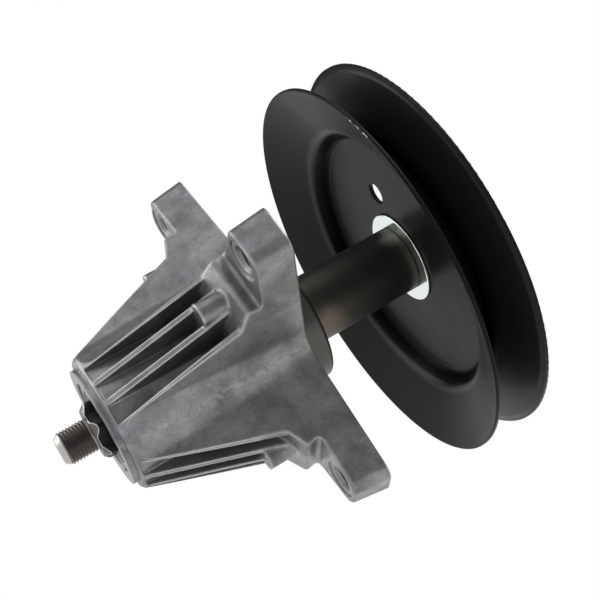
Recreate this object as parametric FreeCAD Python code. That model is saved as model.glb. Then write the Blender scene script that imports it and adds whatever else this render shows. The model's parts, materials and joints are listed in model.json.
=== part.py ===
"""Mower deck spindle: ribbed cast housing, two ball bearings, shaft, spacers and split belt pulley.

Millimetres. The shaft axis is Z, the pulley is up and the blade end is down.
The origin is on the shaft axis at the deck mounting face, which is the upper face of the four ears.
"""
import FreeCAD, Part
import math
import os

V = FreeCAD.Vector
ORIGIN = V(0, 0, 0)
UP = V(0, 0, 1)

# Fits
slip = 0.03
overcut = 1.0
level_play = 0.01
ball_play = 0.1
seal_gap = 0.2

# Deck flange: four ears on the diagonals
ear_angles = (45, 135, 225, 315)
bolt_circle_r = 69.0
bolt_hole_r = 4.3
hole_mouth_r = 5.8
spot_face_r = 8.2
spot_face_depth = 0.6
ear_thick = 15.5
ear_half_width = 12.3
ear_end_margin = 11.8
ear_end_lean = 2.2
ear_corner_r = 6.5
ear_low_round = 1.2
arm_flare = 0.184
arm_wall_draft = 0.077

# Hollows between the arms
hollow_r_at_deck = 33.0
hollow_r_at_blade_end = 29.55
hollow_run_at_deck = 10.0
hollow_run_at_blade_end = 13.2
hollow_reach = 140.0

# Cast body below the deck
housing_drop = 83.0
core_r = 28.6
end_collar_r = 25.6
end_collar_length = 2.4
core_chamfer = 1.2
crest_low_r = 29.5
crest_top_r = 48.4
crest_top_drop = 25.0
shoulder_r = 55.0
shoulder_drop = 21.5
shoulder_foot_r = 40.0
shoulder_foot_drop = 28.3
shoulder_round = 1.6
groove_r = 54.0
groove_round = 1.5
arm_blank_half_width = 19.0

# Slots under each ear, with two ribs between them and a half-round boss in the middle one
rib_offset = 4.75
rib_thick = 2.3
slot_edge_at_blade_end = 13.6
slot_edge_at_deck_end = 12.4
boss_r = 5.0
boss_axis_r = 46.0
boss_web_half_width = 3.9
boss_drop = 35.5

# Pilot collar above the deck
pilot_r = 27.5
pilot_height = 10.0
pilot_round = 1.5

# Ball bearings, 17 x 40 x 12
bearing_bore_r = 8.5
bearing_outer_r = 20.0
bearing_width = 12.0
bearing_recess = 1.0
seat_bore_r = 17.0
bore_mouth_chamfer = 0.4
inner_land_r = 12.25
outer_land_r = 16.45
ball_r = 3.3
ball_count = 8
cage_r_in = 13.1
cage_r_out = 15.4
cage_back = 4.5
cage_front = 1.8
seal_thick = 0.7
seal_recess = 0.3

# Shaft
stud_r = 7.14
stud_length = 14.9
thread_chamfer = 1.2
star_points = 6
star_tip_r = 12.2
star_root_r = 10.2
star_thick = 4.3
star_round = 0.7
star_inset = 0.3
star_turn = 9.0
shoulder_neck_r = 11.5
top_thread_length = 17.0

# Spacers and washers
spacer_r = 11.5
tube_r = 14.57
tube_nose_length = 0.8
tube_chamfer = 0.6
zinc_washer_r = 20.6
zinc_washer_thick = 1.2
zinc_washer_edge = 0.4
top_washer_r = 18.0
top_washer_thick = 2.5

# Pulley of two pressed halves
pulley_r = 85.66
sheet = 1.8
web_height = 63.4
web_r = 56.8
dish_shoulder_r = 60.4
dish_shoulder_depth = 5.9
lower_rim_depth = 17.0
upper_web_r = 60.0
upper_rim_rise = 5.5
bend_r = 3.0
rim_round = 0.5
web_hole_r = 4.8
web_hole_clear_r = 11.0
web_hole_circle_r = 30.3
web_hole_angle = 268.0

# Pulley nut
nut_across_flats = 22.2
nut_height = 12.0
nut_flange_r = 14.6
nut_flange_thick = 2.4
nut_chamfer = 1.2

# Heights that follow from the sizes above
blade_face = -housing_drop
core_low = blade_face + end_collar_length
slot_low = core_low + core_chamfer
slot_high = -crest_top_drop
lower_bearing_low = blade_face + bearing_recess
lower_bearing_high = lower_bearing_low + bearing_width
upper_bearing_high = pilot_height - bearing_recess
upper_bearing_low = upper_bearing_high - bearing_width
star_high = blade_face + star_inset
star_low = star_high - star_thick
stud_low = star_low - stud_length
tube_top = web_height - zinc_washer_thick
joint_height = web_height + sheet
web_top = joint_height + sheet
nut_low = web_top + top_washer_thick
nut_high = nut_low + nut_height
thread_low = web_top - 0.5 * sheet
shaft_high = thread_low + top_thread_length
ball_circle_r = (inner_land_r + outer_land_r) / 2


def upright(point):
    """Puts a profile point (radius, height) in the XZ plane."""
    return V(point.x, 0, point.y)


def rounded_face(corners, place):
    """Closed profile from corners (across, along, rounding radius)."""
    arcs = []
    for i, (across, along, radius) in enumerate(corners):
        here = V(across, along, 0)
        before = V(corners[i - 1][0], corners[i - 1][1], 0)
        after = V(corners[(i + 1) % len(corners)][0], corners[(i + 1) % len(corners)][1], 0)
        back = (before - here).normalize()
        ahead = (after - here).normalize()
        half_angle = back.getAngle(ahead) / 2
        inward = (back + ahead) * radius
        if inward.Length < 1e-9:
            arcs.append((here, here, here))
            continue
        cut = radius / math.tan(half_angle)
        depth = radius / math.sin(half_angle) - radius
        arcs.append((here + back * cut, here + inward.normalize() * depth, here + ahead * cut))
    edges = []
    for i, (first, middle, last) in enumerate(arcs):
        following = arcs[(i + 1) % len(arcs)][0]
        if first.distanceToPoint(last) > 1e-6:
            edges.append(Part.Arc(place(first), place(middle), place(last)).toShape())
        if last.distanceToPoint(following) > 1e-6:
            edges.append(Part.LineSegment(place(last), place(following)).toShape())
    return Part.Face(Part.Wire(edges))


def turned(corners):
    """Solid of revolution about the shaft axis from corners (radius, height, rounding radius)."""
    return rounded_face(corners, upright).revolve(ORIGIN, UP, 360)


def ring(inner_r, outer_r, low, high, edge=0.0):
    """Plain ring with its outer edges rounded."""
    return turned([
        (inner_r, low, 0),
        (outer_r, low, edge),
        (outer_r, high, edge),
        (inner_r, high, 0),
    ])


def disc(radius, low, high):
    """Solid cylinder on the shaft axis."""
    return Part.makeCylinder(radius, high - low, V(0, 0, low), UP)


def turn(shape, angle):
    """Copy of a shape turned about the shaft axis."""
    copy = shape.copy()
    copy.rotate(ORIGIN, UP, angle)
    return copy


def around(shape, angles):
    """Copies of a shape at each of the angles."""
    return [turn(shape, angle) for angle in angles]


def arm_wall(radius, height):
    """Half width of an arm at a distance from the shaft axis."""
    return ear_half_width + (bolt_circle_r - radius) * arm_flare + height * arm_wall_draft


def hollow_outline(height):
    """Outline of the hollow between two arms, along +X: two walls joined by a smooth floor."""
    share = -height / housing_drop
    floor_r = hollow_r_at_deck + share * (hollow_r_at_blade_end - hollow_r_at_deck)
    run = hollow_run_at_deck + share * (hollow_run_at_blade_end - hollow_run_at_deck)
    left = V(1 - arm_flare, 1 + arm_flare, 0).normalize()
    right = V(left.x, -left.y, 0)
    apex = V(math.sqrt(2) * arm_wall(0, height) / (1 + arm_flare), 0, height)
    near_left = apex + left * run
    near_right = apex + right * run
    far_left = apex + left * hollow_reach
    far_right = apex + right * hollow_reach
    floor = Part.BSplineCurve()
    floor.interpolate(Points=[near_right, V(floor_r, 0, height), near_left],
                      InitialTangent=right * -1, FinalTangent=left)
    return Part.Wire([
        Part.LineSegment(far_right, near_right).toShape(),
        floor.toShape(),
        Part.LineSegment(near_left, far_left).toShape(),
        Part.LineSegment(far_left, far_right).toShape(),
    ])


def ear_outline(height, end_r):
    """Outline of an ear along +X: two arm walls joined by an end with round corners."""
    root_y = arm_wall(pilot_r, height)
    end_y = arm_wall(end_r, height)
    corners = [
        (pilot_r, -root_y, 0),
        (end_r, -end_y, ear_corner_r),
        (end_r, end_y, ear_corner_r),
        (pilot_r, root_y, 0),
    ]
    return rounded_face(corners, lambda point: V(point.x, point.y, height)).OuterWire


def edges_at(body, height, least_r):
    """Edges of a body that lie at a height, with their middle farther from the shaft axis than a radius."""
    found = []
    for edge in body.Edges:
        middle = edge.valueAt((edge.FirstParameter + edge.LastParameter) / 2)
        level = max(abs(edge.BoundBox.ZMin - height), abs(edge.BoundBox.ZMax - height)) < level_play
        if level and math.hypot(middle.x, middle.y) > least_r:
            found.append(edge)
    return found


def ear():
    """One ear along +X, with a leaning end."""
    end_r = bolt_circle_r + ear_end_margin
    outlines = [ear_outline(-ear_thick, end_r - ear_end_lean), ear_outline(0, end_r)]
    blank = Part.makeLoft(outlines, True, True)
    return blank.makeFillet(ear_low_round, edges_at(blank, -ear_thick, pilot_r + overcut))


def shoulder():
    """Shoulder of one arm along +X: the slots' end wall, the ledge and the groove under the ear."""
    corners = [
        (0, -shoulder_foot_drop, 0),
        (shoulder_foot_r, -shoulder_foot_drop, shoulder_round),
        (shoulder_r, -shoulder_drop, shoulder_round),
        (groove_r, -ear_thick, groove_round),
        (groove_r + 2 * groove_round, -ear_thick, 0),
        (groove_r + 2 * groove_round, -ear_thick / 2, 0),
        (0, -ear_thick / 2, 0),
    ]
    blank = rounded_face(corners, upright).extrude(V(0, 2 * arm_blank_half_width, 0))
    blank.translate(V(0, -arm_blank_half_width, 0))
    return blank


def slot(edge_low, edge_high, side):
    """One slot along +X, between a rib or the middle and an outer edge at its lower and upper end."""
    inner_edge = side * (rib_offset + rib_thick / 2)
    corners = [
        V(0, inner_edge, slot_low),
        V(0, edge_low, slot_low),
        V(0, edge_high, slot_high),
        V(0, inner_edge, slot_high),
    ]
    face = Part.Face(Part.makePolygon(corners + corners[:1]))
    return face.extrude(V(crest_top_r + core_r, 0, 0))


def slots():
    """The three slots of one arm along +X, above the core."""
    middle_edge = rib_offset - rib_thick / 2
    middle = Part.makeBox(crest_top_r + core_r, 2 * middle_edge, slot_high - slot_low,
                          V(0, -middle_edge, slot_low))
    left = slot(slot_edge_at_blade_end, slot_edge_at_deck_end, 1)
    right = slot(-slot_edge_at_blade_end, -slot_edge_at_deck_end, -1)
    return [middle, left, right]


def boss():
    """Half-round boss in the middle slot along +X, with its web down to the core."""
    length = boss_drop - shoulder_drop
    pin = Part.makeCylinder(boss_r, length, V(boss_axis_r, 0, -boss_drop), UP)
    web_depth = boss_axis_r - core_r / 2
    web = Part.makeBox(web_depth, 2 * boss_web_half_width, length,
                       V(core_r / 2, -boss_web_half_width, -boss_drop))
    return pin.fuse(web)


def spindle_housing():
    """Ribbed cast housing with four ears and a bearing seat at each end."""
    cone = turned([
        (0, blade_face, 0),
        (end_collar_r, blade_face, 0),
        (end_collar_r, core_low, 0),
        (crest_low_r - core_chamfer, core_low, 0),
        (crest_low_r, slot_low, 0),
        (crest_top_r, slot_high, 0),
        (0, slot_high, 0),
    ])
    core = disc(core_r, slot_low, 0)
    cutters = []
    for cutter in slots():
        cutters += around(cutter, ear_angles)
    body = cone.cut(cutters).fuse(core)
    fill = disc(shoulder_foot_r, -shoulder_foot_drop, 0)
    body = body.fuse([fill] + around(shoulder(), ear_angles) + around(boss(), ear_angles))
    hollow = Part.makeLoft([hollow_outline(overcut), hollow_outline(blade_face - overcut)], True, True)
    body = body.cut(around(hollow, (0, 90, 180, 270)))
    pilot = turned([
        (0, -overcut, 0),
        (pilot_r, -overcut, 0),
        (pilot_r, pilot_height, pilot_round),
        (0, pilot_height, 0),
    ])
    body = body.fuse(around(ear(), ear_angles) + [pilot])
    bore = disc(seat_bore_r, blade_face - overcut, pilot_height + overcut)
    lower_seat = disc(bearing_outer_r + slip, blade_face - overcut, lower_bearing_high)
    upper_seat = disc(bearing_outer_r + slip, upper_bearing_low, pilot_height + overcut)
    mouth = Part.makeCone(bearing_outer_r + slip + bore_mouth_chamfer, bearing_outer_r + slip,
                          bore_mouth_chamfer, V(0, 0, blade_face), UP)
    bolt_axis = V(bolt_circle_r, 0, 0)
    hole = Part.makeCylinder(bolt_hole_r, 2 * ear_thick, bolt_axis - UP * 1.5 * ear_thick, UP)
    spot = Part.makeCylinder(spot_face_r, ear_thick, bolt_axis - UP * (2 * ear_thick - spot_face_depth), UP)
    countersink = Part.makeCone(hole_mouth_r, bolt_hole_r, hole_mouth_r - bolt_hole_r,
                                bolt_axis - UP * (ear_thick - spot_face_depth), UP)
    body = body.cut([bore, lower_seat, upper_seat, mouth])
    body = body.cut(around(hole, ear_angles) + around(spot, ear_angles) + around(countersink, ear_angles))
    return body.removeSplitter()


def star():
    """Six-pointed driver that fits the blade."""
    corners = []
    for i in range(2 * star_points):
        radius = star_tip_r if i % 2 == 0 else star_root_r
        angle = math.radians(star_turn) + math.pi * i / star_points
        corners.append((radius * math.cos(angle), radius * math.sin(angle), star_round))
    face = rounded_face(corners, lambda point: V(point.x, point.y, star_low))
    return face.extrude(V(0, 0, star_thick))


def shaft():
    """Shaft with the blade stud and star below and the pulley thread above."""
    journal_r = bearing_bore_r - slip
    body = turned([
        (0, stud_low, 0),
        (stud_r - thread_chamfer, stud_low, 0),
        (stud_r, stud_low + thread_chamfer, 0),
        (stud_r, star_high, 0),
        (shoulder_neck_r, star_high, 0),
        (shoulder_neck_r, lower_bearing_low, 0),
        (journal_r, lower_bearing_low, 0),
        (journal_r, thread_low, 0),
        (stud_r, thread_low, 0),
        (stud_r, shaft_high - thread_chamfer, 0),
        (stud_r - thread_chamfer, shaft_high, 0),
        (0, shaft_high, 0),
    ])
    return body.fuse(star()).removeSplitter()


def ball_places(centre):
    """Centres of the balls of one bearing."""
    places = []
    for i in range(ball_count):
        angle = 2 * math.pi * i / ball_count
        places.append(V(ball_circle_r * math.cos(angle), ball_circle_r * math.sin(angle), centre))
    return places


def bearing(name, low):
    """The six pieces of one sealed ball bearing."""
    high = low + bearing_width
    centre = (low + high) / 2
    race = Part.makeTorus(ball_circle_r, ball_r + ball_play, V(0, 0, centre), UP)
    inner = ring(bearing_bore_r, inner_land_r, low, high).cut(race)
    outer = ring(outer_land_r, bearing_outer_r, low, high).cut(race)
    places = ball_places(centre)
    balls = [Part.makeSphere(ball_r, place) for place in places]
    pockets = [Part.makeSphere(ball_r + ball_play, place) for place in places]
    cage = ring(cage_r_in, cage_r_out, centre - cage_front, centre + cage_back).cut(pockets)
    seal_r_in = inner_land_r + seal_gap
    seal_r_out = outer_land_r - slip
    low_seal = ring(seal_r_in, seal_r_out, low + seal_recess, low + seal_recess + seal_thick)
    high_seal = ring(seal_r_in, seal_r_out, high - seal_recess - seal_thick, high - seal_recess)
    return {
        name + "_inner_race": inner,
        name + "_outer_race": outer,
        name + "_balls": Part.makeCompound(balls),
        name + "_cage": cage,
        name + "_bottom_seal": low_seal,
        name + "_top_seal": high_seal,
    }


def pulley_spacer():
    """Spacer tube from the upper bearing's inner race to the pulley, with a nose that clears the seal."""
    low = upper_bearing_high
    return turned([
        (bearing_bore_r, low, 0),
        (spacer_r, low, 0),
        (spacer_r, low + tube_nose_length, 0),
        (tube_r, low + tube_nose_length, 0),
        (tube_r, tube_top - tube_chamfer, 0),
        (tube_r - tube_chamfer, tube_top, 0),
        (bearing_bore_r, tube_top, 0),
    ])


def pressed_half(path):
    """Pressed sheet disc: a path of (radius, height) points is its lower side, and the sheet lies above it."""
    lower = []
    upper = []
    for i, (radius, height) in enumerate(path):
        here = V(radius, height, 0)
        ends = i in (0, len(path) - 1)
        before = V(path[max(i - 1, 0)][0], path[max(i - 1, 0)][1], 0)
        after = V(path[min(i + 1, len(path) - 1)][0], path[min(i + 1, len(path) - 1)][1], 0)
        if ends:
            run = (after - before).normalize()
            lift = V(0, sheet / run.x, 0)
            rounds = (rim_round, rim_round) if i else (0, 0)
        else:
            run_in = (here - before).normalize()
            run_out = (after - here).normalize()
            normal = V(-run_in.y - run_out.y, run_in.x + run_out.x, 0).normalize()
            lift = normal * (sheet / (normal.x * -run_in.y + normal.y * run_in.x))
            turns_up = run_in.x * run_out.y - run_in.y * run_out.x > 0
            rounds = (bend_r + sheet, bend_r) if turns_up else (bend_r, bend_r + sheet)
        lower.append((here.x, here.y, rounds[0]))
        upper.append((here.x + lift.x, here.y + lift.y, rounds[1]))
    return turned(lower + upper[::-1])


def web_hole(radius):
    """Cutter for a hole through a pulley web, at the place of the small round hole."""
    hole = Part.makeCylinder(radius, 4 * sheet, V(web_hole_circle_r, 0, web_height - sheet), UP)
    return turn(hole, web_hole_angle)


def pulley_lower_half():
    """Lower half: deep dish whose flank is the lower side of the belt groove."""
    return pressed_half([
        (bearing_bore_r, web_height),
        (web_r, web_height),
        (dish_shoulder_r, web_height - dish_shoulder_depth),
        (pulley_r, web_height - lower_rim_depth),
    ]).cut(web_hole(web_hole_r))


def pulley_upper_half():
    """Upper half: shallow dish with the groove's upper flank and a window around the small hole."""
    return pressed_half([
        (bearing_bore_r, joint_height),
        (upper_web_r, joint_height),
        (pulley_r, joint_height + upper_rim_rise),
    ]).cut(web_hole(web_hole_clear_r))


def pulley_nut():
    """Flanged hexagon nut on the shaft's upper thread."""
    corner_r = nut_across_flats / math.sqrt(3)
    corners = []
    for i in range(6):
        angle = math.pi * i / 3
        corners.append(V(corner_r * math.cos(angle), corner_r * math.sin(angle), nut_low))
    prism = Part.Face(Part.makePolygon(corners + corners[:1])).extrude(V(0, 0, nut_height))
    crown = turned([
        (0, nut_low, 0),
        (corner_r, nut_low, 0),
        (corner_r, nut_high - nut_chamfer / 2, 0),
        (corner_r - nut_chamfer, nut_high, 0),
        (0, nut_high, 0),
    ])
    flange = disc(nut_flange_r, nut_low, nut_low + nut_flange_thick)
    bore = disc(stud_r + slip, nut_low - overcut, nut_high + overcut)
    return prism.common(crown).fuse(flange).cut(bore).removeSplitter()


pieces = {
    "spindle_housing": spindle_housing(),
    "shaft": shaft(),
    "bearing_spacer": ring(bearing_bore_r, spacer_r, lower_bearing_high, upper_bearing_low),
    "pulley_spacer": pulley_spacer(),
    "pulley_washer": ring(bearing_bore_r, zinc_washer_r, tube_top, web_height, zinc_washer_edge),
    "pulley_lower_half": pulley_lower_half(),
    "pulley_upper_half": pulley_upper_half(),
    "top_washer": ring(bearing_bore_r, top_washer_r, web_top, nut_low, zinc_washer_edge),
    "pulley_nut": pulley_nut(),
}
pieces.update(bearing("lower", lower_bearing_low))
pieces.update(bearing("upper", upper_bearing_low))

os.makedirs("parts", exist_ok=True)
for name, shape in pieces.items():
    shape.exportStep("parts/" + name + ".step")
    print(name, "valid", shape.isValid(), "solids", len(shape.Solids), "volume", round(shape.Volume))
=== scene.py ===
"""Mower deck spindle: finishes, thread detail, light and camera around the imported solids."""
import bmesh
import bpy
import json
import math
from mathutils import Matrix, Vector


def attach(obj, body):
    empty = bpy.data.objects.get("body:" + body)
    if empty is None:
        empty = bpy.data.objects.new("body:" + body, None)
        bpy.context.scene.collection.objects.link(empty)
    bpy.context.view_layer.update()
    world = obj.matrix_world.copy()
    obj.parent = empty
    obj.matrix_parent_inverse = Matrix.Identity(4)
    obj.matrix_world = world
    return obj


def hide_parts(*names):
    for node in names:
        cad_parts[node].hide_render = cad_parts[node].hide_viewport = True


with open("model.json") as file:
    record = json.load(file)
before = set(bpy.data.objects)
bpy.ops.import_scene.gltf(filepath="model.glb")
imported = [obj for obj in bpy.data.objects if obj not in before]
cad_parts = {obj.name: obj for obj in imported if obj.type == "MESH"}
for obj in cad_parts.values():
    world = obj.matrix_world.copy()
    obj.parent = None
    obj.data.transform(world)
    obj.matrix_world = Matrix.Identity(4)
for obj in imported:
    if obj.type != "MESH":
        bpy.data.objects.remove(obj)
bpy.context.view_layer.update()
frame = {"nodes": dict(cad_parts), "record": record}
scene = bpy.context.scene
MM = 0.001

# Camera of the photograph, in the object's frame
CAMERA_AT = Vector((0.45117, -0.17806, -0.12407))
IMAGE_RIGHT = Vector((0.39879, 0.37587, 0.83647))
IMAGE_UP = Vector((-0.18392, -0.86083, 0.47450))
TO_CAMERA = Vector((0.89841, -0.34307, -0.27416))
LENS_MM = 72.24

# Shaft sizes in millimetres, the same as in the solids
STUD_R = 7.14
STUD_LOW = -101.9
NECK_R = 11.5
BEARING_LOW = -82.0
JOURNAL_R = 8.47
THREAD_LOW = 66.1
SHAFT_HIGH = 83.1

# Shaft detail in millimetres that is plainer in the solids: threads, end chamfers and the blade driver
THREAD_PITCH = 1.411
THREAD_DEPTH = 0.6
THREAD_STEPS = 56
STUD_CHAMFER = 2.2
TOP_CHAMFER = 1.3
STAR_LOW = -87.4
STAR_HIGH = -82.2
STAR_TIP_R = 13.0
STAR_ROOT_R = 10.2
STAR_TURNED_R = 10.6
STAR_SLOPE = 0.85
STAR_TURN = math.radians(33.0)
STAR_POINTS = 6
STAR_SHARPNESS = 1.6
STAR_INSET = 0.3
STAR_RIM = 0.22
STAR_STEPS = 96
TURNED_STEPS = 64
SHARP_ANGLE = math.radians(35.0)

# Heights of the housing's machined faces in millimetres
BLADE_FACE = -83.0
DECK_FACE = 0.0
SPOT_FACE = -14.9

# Marks by their place on the part: paint knocked off the pulley lip by handling, a painted reflection patch
# and a painted highlight spot on the tube
KNOCKED_LIP = Vector((46.6, -71.7, 46.6)) * MM
TUBE_SHEEN = Vector((13.8, 4.5, 17.0)) * MM
TUBE_HIGHLIGHT = Vector((7.2, -12.6, 57.5)) * MM

# Studio, in metres
FLOOR_HEIGHT = -0.52
FLOOR_RADIUS = 3.0
FLAG_DISTANCE = 0.9


def linear(colour):
    """sRGB hex colour to linear RGBA."""
    channels = [int(colour[i:i + 2], 16) / 255 for i in (1, 3, 5)]
    return [c / 12.92 if c <= 0.04045 else ((c + 0.055) / 1.055) ** 2.4 for c in channels] + [1.0]


def add(tree, kind, inputs, **settings):
    """Adds a shader node with its settings, input values and links."""
    node = tree.nodes.new("ShaderNode" + kind)
    for name, value in settings.items():
        setattr(node, name, value)
    for socket, value in inputs.items():
        if isinstance(value, bpy.types.NodeSocket):
            tree.links.new(value, node.inputs[socket])
        else:
            node.inputs[socket].default_value = value
    return node


def new_material(name):
    """Empty node material and its tree."""
    material = bpy.data.materials.new(name)
    material.use_nodes = True
    material.node_tree.nodes.clear()
    return material, material.node_tree


def finish_material(tree, inputs):
    """Joins a principled shader to the output."""
    shader = add(tree, "BsdfPrincipled", inputs)
    add(tree, "OutputMaterial", {"Surface": shader.outputs["BSDF"]})


def die_cast_aluminium():
    """Raw die casting: dull grey skin, clouded where the metal chilled, with painted shade in its pockets and
    a painted highlight on its edges.
    """
    material, tree = new_material("die_cast_aluminium")
    place = add(tree, "TexCoord", {}).outputs["Object"]
    axes = add(tree, "SeparateXYZ", {"Vector": place}).outputs

    # Chill clouds about 9 mm across, with ripples of about 2 mm in them
    cloud = add(tree, "TexNoise", {"Vector": place, "Scale": 60.0, "Detail": 5.0, "Roughness": 0.6,
                                   "Distortion": 0.5})
    ripple = add(tree, "TexNoise", {"Vector": place, "Scale": 420.0, "Detail": 4.0, "Roughness": 0.6,
                                    "Distortion": 0.3})
    tint = add(tree, "TexNoise", {"Vector": place, "Scale": 48.0, "Detail": 3.0})
    grain = add(tree, "TexNoise", {"Vector": place, "Scale": 1300.0, "Detail": 2.0, "Roughness": 0.6})
    share = add(tree, "MapRange", {"Value": cloud.outputs["Fac"],
                                   "From Min": 0.34, "From Max": 0.66}).outputs["Result"]
    cool = add(tree, "Mix", {0: share, 6: linear("#767779"),
                             7: linear("#9b9c9f")}, data_type="RGBA").outputs[2]
    warm = add(tree, "Mix", {0: share, 6: linear("#757573"),
                             7: linear("#9a9a97")}, data_type="RGBA").outputs[2]
    warmth = add(tree, "MapRange", {"Value": tint.outputs["Fac"],
                                    "From Min": 0.42, "From Max": 0.58}).outputs["Result"]
    skin = add(tree, "Mix", {0: warmth, 6: cool, 7: warm}, data_type="RGBA").outputs[2]
    fine = add(tree, "MapRange", {"Value": ripple.outputs["Fac"], "From Min": 0.3, "From Max": 0.7,
                                  "To Min": 0.95, "To Max": 1.05}).outputs["Result"]
    stain = add(tree, "TexNoise", {"Vector": place, "Scale": 170.0, "Detail": 5.0, "Roughness": 0.6,
                                   "Distortion": 0.3})
    blotch = add(tree, "MapRange", {"Value": stain.outputs["Fac"], "From Min": 0.34, "From Max": 0.5,
                                    "To Min": 0.84, "To Max": 1.03}).outputs["Result"]
    speck = add(tree, "MapRange", {"Value": grain.outputs["Fac"], "From Min": 0.3, "From Max": 0.7,
                                   "To Min": 0.88, "To Max": 1.12}).outputs["Result"]
    fine = add(tree, "Math", {0: fine, 1: blotch}, operation="MULTIPLY").outputs[0]
    fine = add(tree, "Math", {0: fine, 1: speck}, operation="MULTIPLY").outputs[0]
    skin = add(tree, "Mix", {0: 1.0, 6: skin, 7: fine}, data_type="RGBA", blend_type="MULTIPLY").outputs[2]

    # Cold flow mark along the middle of each hollow, about 6 mm wide and broken up
    off_x = add(tree, "Math", {0: axes["X"]}, operation="ABSOLUTE").outputs[0]
    off_y = add(tree, "Math", {0: axes["Y"]}, operation="ABSOLUTE").outputs[0]
    off_middle = add(tree, "Math", {0: off_x, 1: off_y}, operation="MINIMUM").outputs[0]
    ragged = add(tree, "Math", {0: ripple.outputs["Fac"],
                                1: 9.0 * MM, 2: -4.5 * MM}, operation="MULTIPLY_ADD").outputs[0]
    off_middle = add(tree, "Math", {0: off_middle, 1: ragged}, operation="ADD").outputs[0]
    flow = add(tree, "MapRange", {"Value": off_middle,
                                  "From Min": 3.5 * MM, "From Max": 0.5 * MM}).outputs["Result"]
    patchy = add(tree, "MapRange", {"Value": ripple.outputs["Fac"],
                                    "From Min": 0.46, "From Max": 0.6}).outputs["Result"]
    flow = add(tree, "Math", {0: flow, 1: patchy}, operation="MULTIPLY").outputs[0]
    flow = add(tree, "Math", {0: flow, 1: 0.8}, operation="MULTIPLY").outputs[0]
    skin = add(tree, "Mix", {0: flow, 6: skin, 7: linear("#a9aaa8")}, data_type="RGBA").outputs[2]

    # Painted shade: pockets are painted a little darker by an occlusion mask, and outside edges get a painted
    # highlight
    open_air = add(tree, "AmbientOcclusion", {"Distance": 14.0 * MM}, samples=8).outputs["AO"]
    painted_pocket_shade = add(tree, "MapRange", {"Value": open_air, "From Min": 0.15, "From Max": 0.75,
                                    "To Min": 0.95, "To Max": 1.0}).outputs["Result"]
    skin = add(tree, "Mix", {0: 1.0, 6: skin, 7: painted_pocket_shade}, data_type="RGBA", blend_type="MULTIPLY").outputs[2]
    below = add(tree, "MapRange", {"Value": axes["Z"],
                                   "From Min": -40.0 * MM, "From Max": -33.0 * MM}).outputs["Result"]
    above = add(tree, "MapRange", {"Value": axes["Z"],
                                   "From Min": -14.0 * MM, "From Max": -17.0 * MM}).outputs["Result"]
    shoulder = add(tree, "Math", {0: below, 1: above}, operation="MULTIPLY").outputs[0]
    edge_round = add(tree, "MapRange", {"Value": shoulder,
                                        "To Min": 1.2 * MM, "To Max": 2.4 * MM}).outputs["Result"]
    edge_normal = add(tree, "Bevel", {"Radius": edge_round}, samples=6).outputs["Normal"]
    surface = add(tree, "NewGeometry", {}).outputs["Normal"]
    facing = add(tree, "VectorMath", {0: edge_normal, 1: surface}, operation="DOT_PRODUCT").outputs["Value"]
    edge = add(tree, "MapRange", {"Value": facing, "From Min": 0.99, "From Max": 0.9}).outputs["Result"]
    outside = add(tree, "MapRange", {"Value": open_air, "From Min": 0.5, "From Max": 0.75}).outputs["Result"]
    edge = add(tree, "Math", {0: edge, 1: outside}, operation="MULTIPLY").outputs[0]
    painted_edge_highlight = add(tree, "MapRange", {"Value": below, "To Min": 1.0, "To Max": 0.4}).outputs["Result"]
    edge = add(tree, "Math", {0: edge, 1: painted_edge_highlight}, operation="MULTIPLY").outputs[0]
    off_end = add(tree, "MapRange", {"Value": axes["Z"],
                                     "From Min": -79.5 * MM, "From Max": -77.0 * MM}).outputs["Result"]
    edge = add(tree, "Math", {0: edge, 1: off_end}, operation="MULTIPLY").outputs[0]
    # Painted highlight: outside edges are mixed towards near white, weaker on the shoulder and faded near the
    # blade end
    skin = add(tree, "Mix", {0: edge, 6: skin, 7: linear("#f0f0ee")}, data_type="RGBA").outputs[2]
    rough = add(tree, "MapRange", {"Value": share, "To Min": 0.42, "To Max": 0.32}).outputs["Result"]

    # Machined end face, deck face and spot faces
    blade_end = add(tree, "Math", {0: axes["Z"],
                                   1: (BLADE_FACE + 0.05) * MM}, operation="LESS_THAN").outputs[0]
    deck_face = add(tree, "Math", {0: axes["Z"],
                                   1: DECK_FACE * MM, 2: 0.03 * MM}, operation="COMPARE").outputs[0]
    spot_face = add(tree, "Math", {0: axes["Z"],
                                   1: SPOT_FACE * MM, 2: 0.03 * MM}, operation="COMPARE").outputs[0]
    machined = add(tree, "Math", {0: blade_end, 1: deck_face}, operation="MAXIMUM").outputs[0]
    machined = add(tree, "Math", {0: machined, 1: spot_face}, operation="MAXIMUM").outputs[0]
    skin = add(tree, "Mix", {0: machined, 6: skin, 7: linear("#a19e9b")}, data_type="RGBA").outputs[2]
    rough = add(tree, "Mix", {0: machined, 2: rough, 3: 0.4}).outputs[0]

    # Painted shade: the pilot above the deck face, close under the tube and pulley, is painted darker
    pilot = add(tree, "Math", {0: axes["Z"], 1: (DECK_FACE + 0.1) * MM}, operation="GREATER_THAN").outputs[0]
    skin = add(tree, "Mix", {0: pilot, 6: skin, 7: linear("#5a5955")}, data_type="RGBA").outputs[2]

    bump = add(tree, "Bump", {"Strength": 0.15,
                              "Distance": 0.1 * MM, "Height": grain.outputs["Fac"], "Normal": edge_normal})
    dent = add(tree, "Bump", {"Strength": 0.28, "Distance": 0.25 * MM, "Height": ripple.outputs["Fac"],
                              "Normal": bump.outputs["Normal"]})
    finish_material(tree, {"Base Color": skin,
                           "Metallic": 0.68, "Roughness": rough, "Normal": dent.outputs["Normal"]})
    return material


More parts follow.
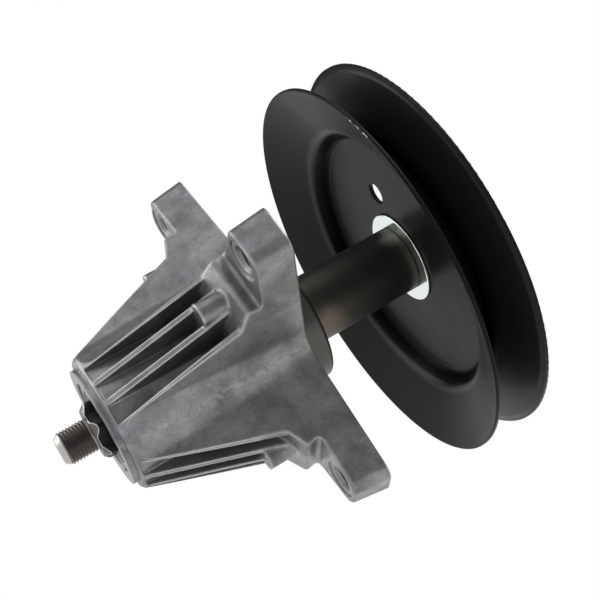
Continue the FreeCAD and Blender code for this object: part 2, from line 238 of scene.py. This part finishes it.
def black_enamel():
    """Baked black enamel on pressed steel: low sheen, faint orange peel, soft glints on the bends."""
    material, tree = new_material("black_enamel")
    place = add(tree, "TexCoord", {}).outputs["Object"]
    peel = add(tree, "TexNoise", {"Vector": place, "Scale": 700.0, "Detail": 2.0})
    cloud = add(tree, "TexNoise", {"Vector": place, "Scale": 40.0, "Detail": 4.0})
    rough = add(tree, "MapRange", {"Value": cloud.outputs["Fac"], "From Min": 0.3, "From Max": 0.7,
                                   "To Min": 0.27, "To Max": 0.35}).outputs["Result"]
    # Soft bend on the shoulder of the dish, full round on the rims, and a rolled lip on the upper half
    axes = add(tree, "SeparateXYZ", {"Vector": place}).outputs
    flat = add(tree, "CombineXYZ", {"X": axes["X"], "Y": axes["Y"]}).outputs["Vector"]
    radius = add(tree, "VectorMath", {0: flat}, operation="LENGTH").outputs["Value"]
    rim = add(tree, "MapRange", {"Value": radius, "From Min": 83.0 * MM, "From Max": 84.0 * MM,
                                 "To Min": 0.8 * MM, "To Max": 1.2 * MM}).outputs["Result"]
    edge_normal = add(tree, "Bevel", {"Radius": rim}, samples=6).outputs["Normal"]
    past_bend = add(tree, "Math", {0: radius, 1: 82.3 * MM}, operation="SUBTRACT").outputs[0]
    past_bend = add(tree, "Math", {0: past_bend, 1: 0.0}, operation="MAXIMUM").outputs[0]
    roll = add(tree, "Math", {0: past_bend, 1: past_bend}, operation="MULTIPLY").outputs[0]
    upper = add(tree, "MapRange", {"Value": axes["Z"], "From Min": 60.0 * MM, "From Max": 61.0 * MM,
                                   "To Max": -150.0}).outputs["Result"]
    roll = add(tree, "Math", {0: roll, 1: upper}, operation="MULTIPLY").outputs[0]
    rolled = add(tree, "Bump", {"Distance": 1.0, "Height": roll, "Normal": edge_normal})
    bump = add(tree, "Bump", {"Strength": 0.05, "Distance": 0.05 * MM, "Height": peel.outputs["Fac"],
                              "Normal": rolled.outputs["Normal"]})

    # Painted shade: the fold of the dish is painted darker and less glossy; paint knocked off the front lip
    # at one place
    fold_in = add(tree, "MapRange", {"Value": radius,
                                     "From Min": 55.2 * MM, "From Max": 56.2 * MM}).outputs["Result"]
    fold_out = add(tree, "MapRange", {"Value": radius,
                                      "From Min": 60.8 * MM, "From Max": 58.2 * MM}).outputs["Result"]
    painted_fold_shade = add(tree, "Math", {0: fold_in, 1: fold_out}, operation="MULTIPLY").outputs[0]
    tone = add(tree, "Mix", {0: painted_fold_shade, 6: linear("#1c1b1a"),
                             7: linear("#080808")}, data_type="RGBA").outputs[2]
    gloss = add(tree, "MapRange", {"Value": painted_fold_shade, "To Min": 0.08, "To Max": 0.025}).outputs["Result"]
    off_bend = add(tree, "Math", {0: radius, 1: -61.8 * MM}, operation="ADD").outputs[0]
    off_bend = add(tree, "Math", {0: off_bend}, operation="ABSOLUTE").outputs[0]
    bend = add(tree, "MapRange", {"Value": off_bend,
                                  "From Min": 2.2 * MM, "From Max": 0.2 * MM}).outputs["Result"]
    gloss = add(tree, "Mix", {0: bend, 2: gloss, 3: 0.22}).outputs[0]
    # Painted light: the downward-facing groove side of the upper half is painted greyer and glossier
    surface = add(tree, "NewGeometry", {}).outputs["Normal"]
    underside = add(tree, "SeparateXYZ", {"Vector": surface}).outputs["Z"]
    underside = add(tree, "MapRange", {"Value": underside,
                                       "From Min": 0.0, "From Max": -0.2}).outputs["Result"]
    high = add(tree, "MapRange", {"Value": axes["Z"],
                                  "From Min": 60.0 * MM, "From Max": 61.0 * MM}).outputs["Result"]
    past_dish = add(tree, "MapRange", {"Value": radius,
                                       "From Min": 62.0 * MM, "From Max": 66.0 * MM}).outputs["Result"]
    painted_groove_light = add(tree, "Math", {0: underside, 1: high}, operation="MULTIPLY").outputs[0]
    painted_groove_light = add(tree, "Math", {0: painted_groove_light, 1: past_dish}, operation="MULTIPLY").outputs[0]
    tone = add(tree, "Mix", {0: painted_groove_light, 6: tone, 7: linear("#2b2a29")}, data_type="RGBA").outputs[2]
    gloss = add(tree, "Mix", {0: painted_groove_light, 2: gloss, 3: 0.13}).outputs[0]
    chip = add(tree, "TexNoise", {"Vector": place, "Scale": 900.0, "Detail": 3.0})
    chipped = add(tree, "MapRange", {"Value": chip.outputs["Fac"],
                                     "From Min": 0.52, "From Max": 0.58}).outputs["Result"]
    lip = add(tree, "MapRange", {"Value": axes["Z"],
                                 "From Min": 46.95 * MM, "From Max": 46.75 * MM}).outputs["Result"]
    off_knock = add(tree, "VectorMath", {0: place, 1: KNOCKED_LIP}, operation="DISTANCE").outputs["Value"]
    knock = add(tree, "MapRange", {"Value": off_knock,
                                   "From Min": 9.0 * MM, "From Max": 6.0 * MM}).outputs["Result"]
    chipped = add(tree, "Math", {0: chipped, 1: lip}, operation="MULTIPLY").outputs[0]
    chipped = add(tree, "Math", {0: chipped, 1: knock}, operation="MULTIPLY").outputs[0]
    tone = add(tree, "Mix", {0: chipped, 6: tone, 7: linear("#e4e4e0")}, data_type="RGBA").outputs[2]
    finish_material(tree, {"Base Color": tone, "Roughness": rough, "Specular IOR Level": gloss,
                           "Normal": bump.outputs["Normal"]})
    return material


def black_oxide_steel():
    """Turned steel tube with a black oxide skin: dark gunmetal, semi-gloss, with a faint warm tone, a painted
    reflection patch and a painted highlight spot.
    """
    material, tree = new_material("black_oxide_steel")
    place = add(tree, "TexCoord", {}).outputs["Object"]
    cloud = add(tree, "TexNoise", {"Vector": place, "Scale": 90.0, "Detail": 4.0})
    tone = add(tree, "Mix", {0: cloud.outputs["Fac"], 6: linear("#45443f"),
                             7: linear("#53514b")}, data_type="RGBA").outputs[2]
    # Painted reflection: a pale brown patch near the housing, and a painted highlight: a pale spot at the
    # pulley end, both on the camera's side
    off_sheen = add(tree, "VectorMath", {0: place, 1: TUBE_SHEEN}, operation="DISTANCE").outputs["Value"]
    off_highlight = add(tree, "VectorMath", {0: place, 1: TUBE_HIGHLIGHT}, operation="DISTANCE").outputs["Value"]
    ragged = add(tree, "Math", {0: cloud.outputs["Fac"],
                                1: 12.0 * MM, 2: -6.0 * MM}, operation="MULTIPLY_ADD").outputs[0]
    off_sheen = add(tree, "Math", {0: off_sheen, 1: ragged}, operation="ADD").outputs[0]
    painted_sheen = add(tree, "MapRange", {"Value": off_sheen,
                                  "From Min": 10.0 * MM, "From Max": 2.0 * MM}).outputs["Result"]
    painted_tube_highlight = add(tree, "MapRange", {"Value": off_highlight, "From Min": 5.0 * MM, "From Max": 0.0}).outputs["Result"]
    tone = add(tree, "Mix", {0: painted_sheen, 6: tone, 7: linear("#7a6e64")}, data_type="RGBA").outputs[2]
    # Painted highlight: pale spot at the pulley end of the tube
    tone = add(tree, "Mix", {0: painted_tube_highlight, 6: tone, 7: linear("#a8a59c")}, data_type="RGBA").outputs[2]
    finish_material(tree, {"Base Color": tone, "Metallic": 0.85, "Roughness": 0.42})
    return material


def blackened_steel():
    """Hardened steel, blackened in oil: deep black with an oily gloss."""
    material, tree = new_material("blackened_steel")
    place = add(tree, "TexCoord", {}).outputs["Object"]
    oil = add(tree, "TexNoise", {"Vector": place, "Scale": 350.0, "Detail": 3.0})
    rough = add(tree, "MapRange", {"Value": oil.outputs["Fac"],
                                   "To Min": 0.22, "To Max": 0.42}).outputs["Result"]
    finish_material(tree, {"Base Color": linear("#0b0a0a"), "Roughness": rough, "Specular IOR Level": 0.2})
    return material


def bright_zinc():
    """Bright zinc plate: pale, faintly green and close to a mirror."""
    material, tree = new_material("bright_zinc")
    place = add(tree, "TexCoord", {}).outputs["Object"]
    cloud = add(tree, "TexNoise", {"Vector": place, "Scale": 120.0, "Detail": 3.0})
    rough = add(tree, "MapRange", {"Value": cloud.outputs["Fac"],
                                   "To Min": 0.08, "To Max": 0.2}).outputs["Result"]
    finish_material(tree, {"Base Color": linear("#e9f1ed"), "Metallic": 1.0, "Roughness": rough})
    return material


def turned_steel(name, colour, roughness):
    """Turned or ground bare steel with fine rings around the shaft axis."""
    material, tree = new_material(name)
    place = add(tree, "TexCoord", {}).outputs["Object"]
    squash = add(tree, "Mapping", {"Vector": place, "Scale": (0.05, 0.05, 1.0)}).outputs["Vector"]
    rings = add(tree, "TexNoise", {"Vector": squash, "Scale": 2500.0, "Detail": 2.0})
    rough = add(tree, "MapRange", {"Value": rings.outputs["Fac"], "To Min": roughness - 0.06,
                                   "To Max": roughness + 0.08}).outputs["Result"]
    finish_material(tree, {"Base Color": linear(colour), "Metallic": 1.0, "Roughness": rough})
    return material


def seal_rubber():
    """Moulded grey nitrile rubber: matt, with a faint bloom."""
    material, tree = new_material("seal_rubber_moulded")
    place = add(tree, "TexCoord", {}).outputs["Object"]
    bloom = add(tree, "TexNoise", {"Vector": place, "Scale": 300.0, "Detail": 3.0})
    tone = add(tree, "Mix", {0: bloom.outputs["Fac"], 6: linear("#7d7a76"),
                             7: linear("#8b8884")}, data_type="RGBA").outputs[2]
    finish_material(tree, {"Base Color": tone, "Roughness": 0.6})
    return material


def mesh_piece(name, bm, materials):
    """Finished mesh object at the origin, smooth except at sharp edges."""
    bmesh.ops.recalc_face_normals(bm, faces=bm.faces)
    mesh = bpy.data.meshes.new(name)
    bm.to_mesh(mesh)
    bm.free()
    for polygon in mesh.polygons:
        polygon.use_smooth = True
    mesh.set_sharp_from_angle(angle=SHARP_ANGLE)
    for material in materials:
        mesh.materials.append(material)
    piece = bpy.data.objects.new(name, mesh)
    scene.collection.objects.link(piece)
    return piece


def lathe(bm, profile, material_index):
    """Turns a profile of (radius, height) in millimetres about the shaft axis."""
    before = set(bm.faces)
    verts = [bm.verts.new((radius * MM, 0, height * MM)) for radius, height in profile]
    edges = [bm.edges.new(pair) for pair in zip(verts, verts[1:])]
    bmesh.ops.spin(bm, geom=verts + edges, cent=(0, 0, 0), axis=(0, 0, 1), angle=2 * math.pi,
                   steps=TURNED_STEPS, use_merge=True)
    bmesh.ops.remove_doubles(bm, verts=bm.verts, dist=0.001 * MM)
    for face in set(bm.faces) - before:
        face.material_index = material_index


def thread(bm, low, high, material_index):
    """Screw thread on the shaft axis between two heights: one tooth is turned and lifted along a helix."""
    turns = math.ceil((high - low) / THREAD_PITCH) + 2
    start = low - THREAD_PITCH
    root = STUD_R - THREAD_DEPTH
    tooth = [(root, 0.06), (STUD_R, 0.44), (STUD_R, 0.56), (root, 0.94), (root, 1.06)]
    part = bmesh.new()
    verts = [part.verts.new((radius * MM, 0, (start + share * THREAD_PITCH) * MM)) for radius, share in tooth]
    edges = [part.edges.new(pair) for pair in zip(verts, verts[1:])]
    bmesh.ops.spin(part, geom=verts + edges, cent=(0, 0, 0), axis=(0, 0, 1), angle=2 * math.pi * turns,
                   dvec=(0, 0, THREAD_PITCH * MM / THREAD_STEPS), steps=turns * THREAD_STEPS)
    bmesh.ops.remove_doubles(part, verts=part.verts, dist=0.005 * MM)
    for height, outwards in ((low, -1), (high, 1)):
        bmesh.ops.bisect_plane(part, geom=part.verts[:] + part.edges[:] + part.faces[:], dist=0.0001 * MM,
                               plane_co=(0, 0, height * MM), plane_no=(0, 0, outwards), clear_outer=True)
        rim = [edge for edge in part.edges if edge.is_boundary and
               all(abs(vert.co.z - height * MM) < 0.001 * MM for vert in edge.verts)]
        bmesh.ops.holes_fill(part, edges=rim, sides=0)
    for face in part.faces:
        face.material_index = material_index
    mesh = bpy.data.meshes.new("thread_part")
    part.to_mesh(mesh)
    part.free()
    bm.from_mesh(mesh)
    bpy.data.meshes.remove(mesh)


def blade_star(bm, wall_index, turned_index, rim_index):
    """Six-pointed blade driver: rounded points, a turned chamfer at the front in the darker steel as painted
    shade, and a rim in the paler steel as a painted highlight.
    """
    before = set(bm.faces)
    outline = bmesh.ops.create_circle(bm, cap_ends=True, segments=STAR_STEPS, radius=1.0)["verts"]
    front = next(iter(set(bm.faces) - before))
    for vert in outline:
        angle = math.atan2(vert.co.y, vert.co.x)
        point = (0.5 + 0.5 * math.cos(STAR_POINTS * (angle - STAR_TURN))) ** STAR_SHARPNESS
        radius = STAR_ROOT_R + (STAR_TIP_R - STAR_ROOT_R) * point
        vert.co *= radius * MM
        vert.co.z = STAR_LOW * MM
    raised = bmesh.ops.extrude_face_region(bm, geom=[front])
    top = [item for item in raised["geom"] if isinstance(item, bmesh.types.BMVert)]
    bmesh.ops.translate(bm, verts=top, vec=(0, 0, (STAR_HIGH - STAR_LOW) * MM))
    front = next(face for face in set(bm.faces) - before
                 if all(abs(vert.co.z - STAR_LOW * MM) < 0.01 * MM for vert in face.verts))
    turned = bmesh.ops.inset_region(bm, faces=[front], thickness=STAR_INSET * MM,
                                    use_even_offset=True)["faces"]
    rim = {vert for face in turned for vert in face.verts} - set(front.verts)
    for vert in rim:
        past = max(vert.co.xy.length - STAR_TURNED_R * MM, 0.0)
        vert.co.z += 0.2 * MM + past * STAR_SLOPE
    for vert in front.verts:
        vert.co.xy *= min(1.0, STAR_TURNED_R * MM / vert.co.xy.length)
    for face in set(bm.faces) - before:
        face.material_index = wall_index
    for face in turned:
        face.material_index = turned_index
    edges = [edge for edge in bm.edges if all(vert in rim for vert in edge.verts)]
    # Rim bevel in the paler steel: painted highlight
    painted_edge_highlight = bmesh.ops.bevel(bm, geom=edges, offset=STAR_RIM * MM, offset_type="OFFSET", affect="EDGES",
                             segments=2, profile=0.5, material=-1)["faces"]
    for face in painted_edge_highlight:
        face.material_index = rim_index


def spindle_shaft(steel, dark, painted_shade_steel, bright):
    """Shaft with its threads, blade driver and journals."""
    bm = bmesh.new()
    blade_star(bm, 1, 2, 3)
    chamfer_top = STUD_LOW + STUD_CHAMFER
    stud_end = [(0, STUD_LOW), (4.8, STUD_LOW), (5.3, STUD_LOW + 0.2), (6.75, chamfer_top),
                (6.0, chamfer_top + 0.3)]
    # Stud end chamfer in the paler steel: painted highlight
    lathe(bm, stud_end, 3)
    relief = [(STUD_R - THREAD_DEPTH, STAR_LOW - 1.1), (6.7, STAR_LOW - 0.8), (6.7, STAR_LOW + 0.2)]
    lathe(bm, relief, 0)
    journal = [(JOURNAL_R - 2, STAR_HIGH - 0.2), (NECK_R, STAR_HIGH - 0.2), (NECK_R, BEARING_LOW),
               (JOURNAL_R, BEARING_LOW), (JOURNAL_R, THREAD_LOW - 0.4), (JOURNAL_R - 0.4, THREAD_LOW),
               (6.0, THREAD_LOW)]
    lathe(bm, journal, 0)
    top_chamfer = SHAFT_HIGH - TOP_CHAMFER
    top_end = [(6.0, top_chamfer - 0.3), (6.8, top_chamfer), (5.75, SHAFT_HIGH - 0.15), (5.5, SHAFT_HIGH),
               (0, SHAFT_HIGH)]
    lathe(bm, top_end, 0)
    # Threads in the darker copy of the steel, as painted shade
    thread(bm, chamfer_top, STAR_LOW - 0.9, 2)
    thread(bm, THREAD_LOW, top_chamfer, 2)
    return mesh_piece("spindle_shaft", bm, [steel, dark, painted_shade_steel, bright])


# Finishes on the solids
casting = die_cast_aluminium()
enamel = black_enamel()
oxide = black_oxide_steel()
zinc = bright_zinc()
star_black = blackened_steel()
bare_steel = turned_steel("turned_bare_steel", "#86827e", 0.32)
# Darker copy of the shaft steel: painted shade on the threads and the star's turned chamfer
thread_steel = turned_steel("thread_steel_painted_shade", "#6a6662", 0.3)
# Paler copy of the shaft steel: painted highlight on the stud's end chamfer and the star's rim
end_steel = turned_steel("steel_painted_highlight", "#b9b6b2", 0.35)
ground_steel = turned_steel("ground_bearing_steel", "#a9a6a3", 0.34)
ball_steel = turned_steel("polished_ball_steel", "#dcdcdc", 0.1)
cage_steel = turned_steel("pressed_cage_steel", "#a8a6a2", 0.38)
rubber = seal_rubber()
finishes = {
    "cast_aluminium": casting,
    "black_paint": enamel,
    "dark_steel": oxide,
    "zinc_steel": zinc,
    "shaft_steel": bare_steel,
    "bearing_steel": ground_steel,
    "ball_steel": ball_steel,
    "cage_steel": cage_steel,
    "seal_rubber": rubber,
}
for part in frame["record"]["subparts"]:
    frame["nodes"][part["node"]].data.materials[0] = finishes[part["material_slot"]]

shaft = spindle_shaft(bare_steel, star_black, thread_steel, end_steel)
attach(shaft, "rotor")
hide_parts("shaft")

# Camera
camera = bpy.data.objects.new("camera", bpy.data.cameras.new("camera"))
camera.data.lens = LENS_MM
camera.data.sensor_width = 36.0
camera.data.clip_start = 0.01
pose = Matrix((IMAGE_RIGHT, IMAGE_UP, TO_CAMERA)).transposed().to_4x4()
pose.translation = CAMERA_AT
camera.matrix_world = pose
scene.collection.objects.link(camera)
scene.camera = camera


def area_light(name, right, up, near, size, power):
    """Soft lamp placed by image directions from the object's middle and aimed at it."""
    centre = Vector((0, 0, -0.01))
    lamp = bpy.data.lights.new(name, "AREA")
    lamp.shape = "DISK"
    lamp.size = size
    lamp.energy = power
    light = bpy.data.objects.new(name, lamp)
    light.visible_camera = False
    offset = IMAGE_RIGHT * right + IMAGE_UP * up + TO_CAMERA * near
    light.location = centre + offset
    light.rotation_euler = offset.to_track_quat("Z", "Y").to_euler()
    scene.collection.objects.link(light)


area_light("left_softbox", -0.52, 0.1, -0.15, 0.5, 1.3)
area_light("overhead_softbox", 0.33, 0.7, 0.1, 0.5, 1.9)


def stage_disc(name, centre, facing, radius, material):
    """Flat round piece of the studio, turned to face a direction."""
    bm = bmesh.new()
    bmesh.ops.create_circle(bm, cap_ends=True, segments=64, radius=radius)
    turn = facing.to_track_quat("Z", "Y").to_matrix().to_4x4()
    bmesh.ops.transform(bm, matrix=Matrix.Translation(centre) @ turn, verts=bm.verts)
    piece = mesh_piece(name, bm, [material])
    return piece


def seen_directly(tree):
    """Share of rays that look at the surroundings: from the camera, or by way of metal and glass."""
    path = add(tree, "LightPath", {}).outputs
    seen = add(tree, "Math", {0: path["Is Camera Ray"],
                              1: path["Is Glossy Ray"]}, operation="MAXIMUM").outputs[0]
    return add(tree, "Math", {0: seen, 1: path["Is Transmission Ray"]}, operation="MAXIMUM").outputs[0]


def studio_paper():
    """Matt white paper sweep: plain white in view and in reflections, dimmed by the object's shadow."""
    material, tree = new_material("studio_paper")
    seen = add(tree, "Math", {0: seen_directly(tree), 1: 0.92}, operation="MULTIPLY").outputs[0]
    paper = add(tree, "BsdfDiffuse", {"Color": linear("#f2f2f2")})
    glow = add(tree, "Emission", {"Color": linear("#ffffff")})
    mix = add(tree, "MixShader", {0: seen, 1: paper.outputs["BSDF"], 2: glow.outputs["Emission"]})
    add(tree, "OutputMaterial", {"Surface": mix.outputs["Shader"]})
    return material


def grey_board(name, colour):
    """Matt studio board that dims what the metal reflects."""
    material, tree = new_material(name)
    finish_material(tree, {"Base Color": linear(colour), "Roughness": 0.9, "Specular IOR Level": 0.1})
    return material


stage_disc("studio_floor", Vector((0, 0, FLOOR_HEIGHT)), Vector((0, 0, 1)), FLOOR_RADIUS, studio_paper())
front = IMAGE_RIGHT * 0.25 + IMAGE_UP * 0.4 + TO_CAMERA * 0.88
behind = IMAGE_RIGHT * -0.25 + IMAGE_UP * 0.62 - TO_CAMERA * 0.74
left = IMAGE_RIGHT * -0.8 + IMAGE_UP * 0.2 - TO_CAMERA * 0.56
low = IMAGE_RIGHT * -0.72 - IMAGE_UP * 0.41 + TO_CAMERA * 0.55
flags = (("front_flag", front, 0.7, "#c4c4c4"), ("back_flag", behind, 0.5, "#808080"),
         ("left_flag", left, 0.4, "#505050"), ("low_flag", low, 0.4, "#505050"))
for name, side, radius, colour in flags:
    flag = stage_disc(name, side * FLAG_DISTANCE, -side, radius, grey_board(name + "_board", colour))
    flag.visible_camera = False
    flag.visible_diffuse = False

# White surroundings: bright to the camera and in reflections, plain level for soft light
world = bpy.data.worlds.new("white_room")
scene.world = world
world.use_nodes = True
tree = world.node_tree
tree.nodes.clear()
strength = add(tree, "MapRange", {"Value": seen_directly(tree),
                                  "To Min": 0.45, "To Max": 1.0}).outputs["Result"]
background = add(tree, "Background", {"Color": linear("#ffffff"), "Strength": strength})
add(tree, "OutputWorld", {"Surface": background.outputs["Background"]})

scene.view_settings.view_transform = "Standard"
